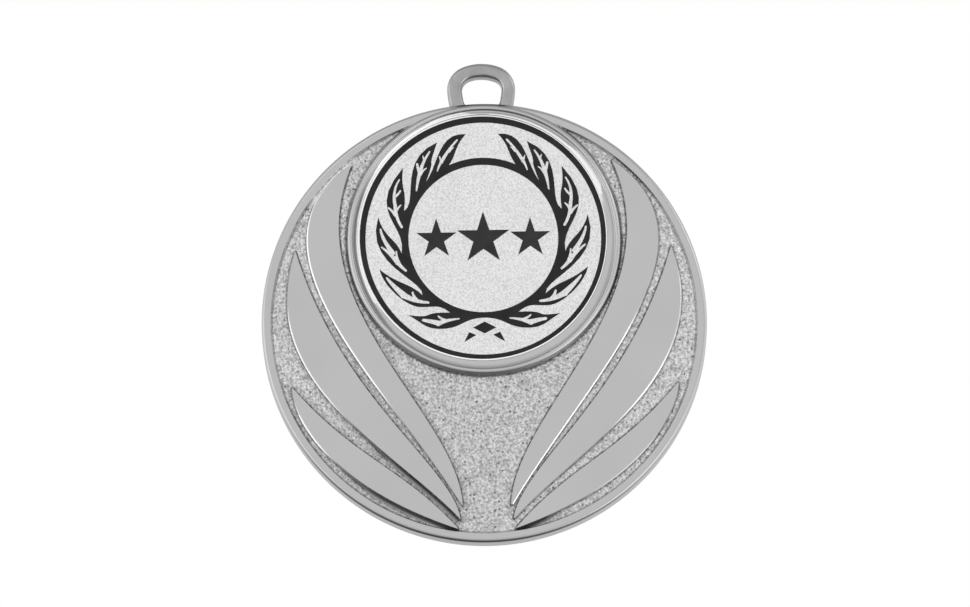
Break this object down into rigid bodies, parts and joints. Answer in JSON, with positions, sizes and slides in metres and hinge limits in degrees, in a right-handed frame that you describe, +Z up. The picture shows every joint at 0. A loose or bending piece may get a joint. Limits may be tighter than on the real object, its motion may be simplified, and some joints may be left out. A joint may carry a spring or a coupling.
{
  "type": "medal",
  "caption": "Round relief medal with smooth petals on a grained field, a ribbon loop, and a round printed emblem in a raised collar.",
  "frame": {"origin": "middle of the ribbon loop's hole, at mid-thickness of the disc", "axes": "+Z up as the medal hangs, +X to the viewer's right, and the front faces -Y"},
  "size_m": [0.045, 0.0032, 0.0492],
  "materials": {
    "satin_nickel": "satin nickel plate on die-struck steel, smooth petals and rim, sand-grained field",
    "loop_nickel": "satin nickel plate, a shade darker than the disc",
    "adhesive": "translucent double-sided acrylic adhesive",
    "blasted_aluminium": "finely blasted anodised aluminium with a bright cut edge",
    "black_ink": "satin black ink printed on the aluminium",
    "grey_ink": "satin dark grey ink printed on the aluminium"
  },
  "bodies": {
    "root": {"medal_disc": "satin_nickel", "ribbon_loop": "loop_nickel", "emblem_adhesive": "adhesive", "emblem_disc": "blasted_aluminium", "border_ink": "black_ink", "wreath_ink": "black_ink", "bow_ink": "black_ink", "star_ink": "grey_ink"}
  },
  "joints": []
}
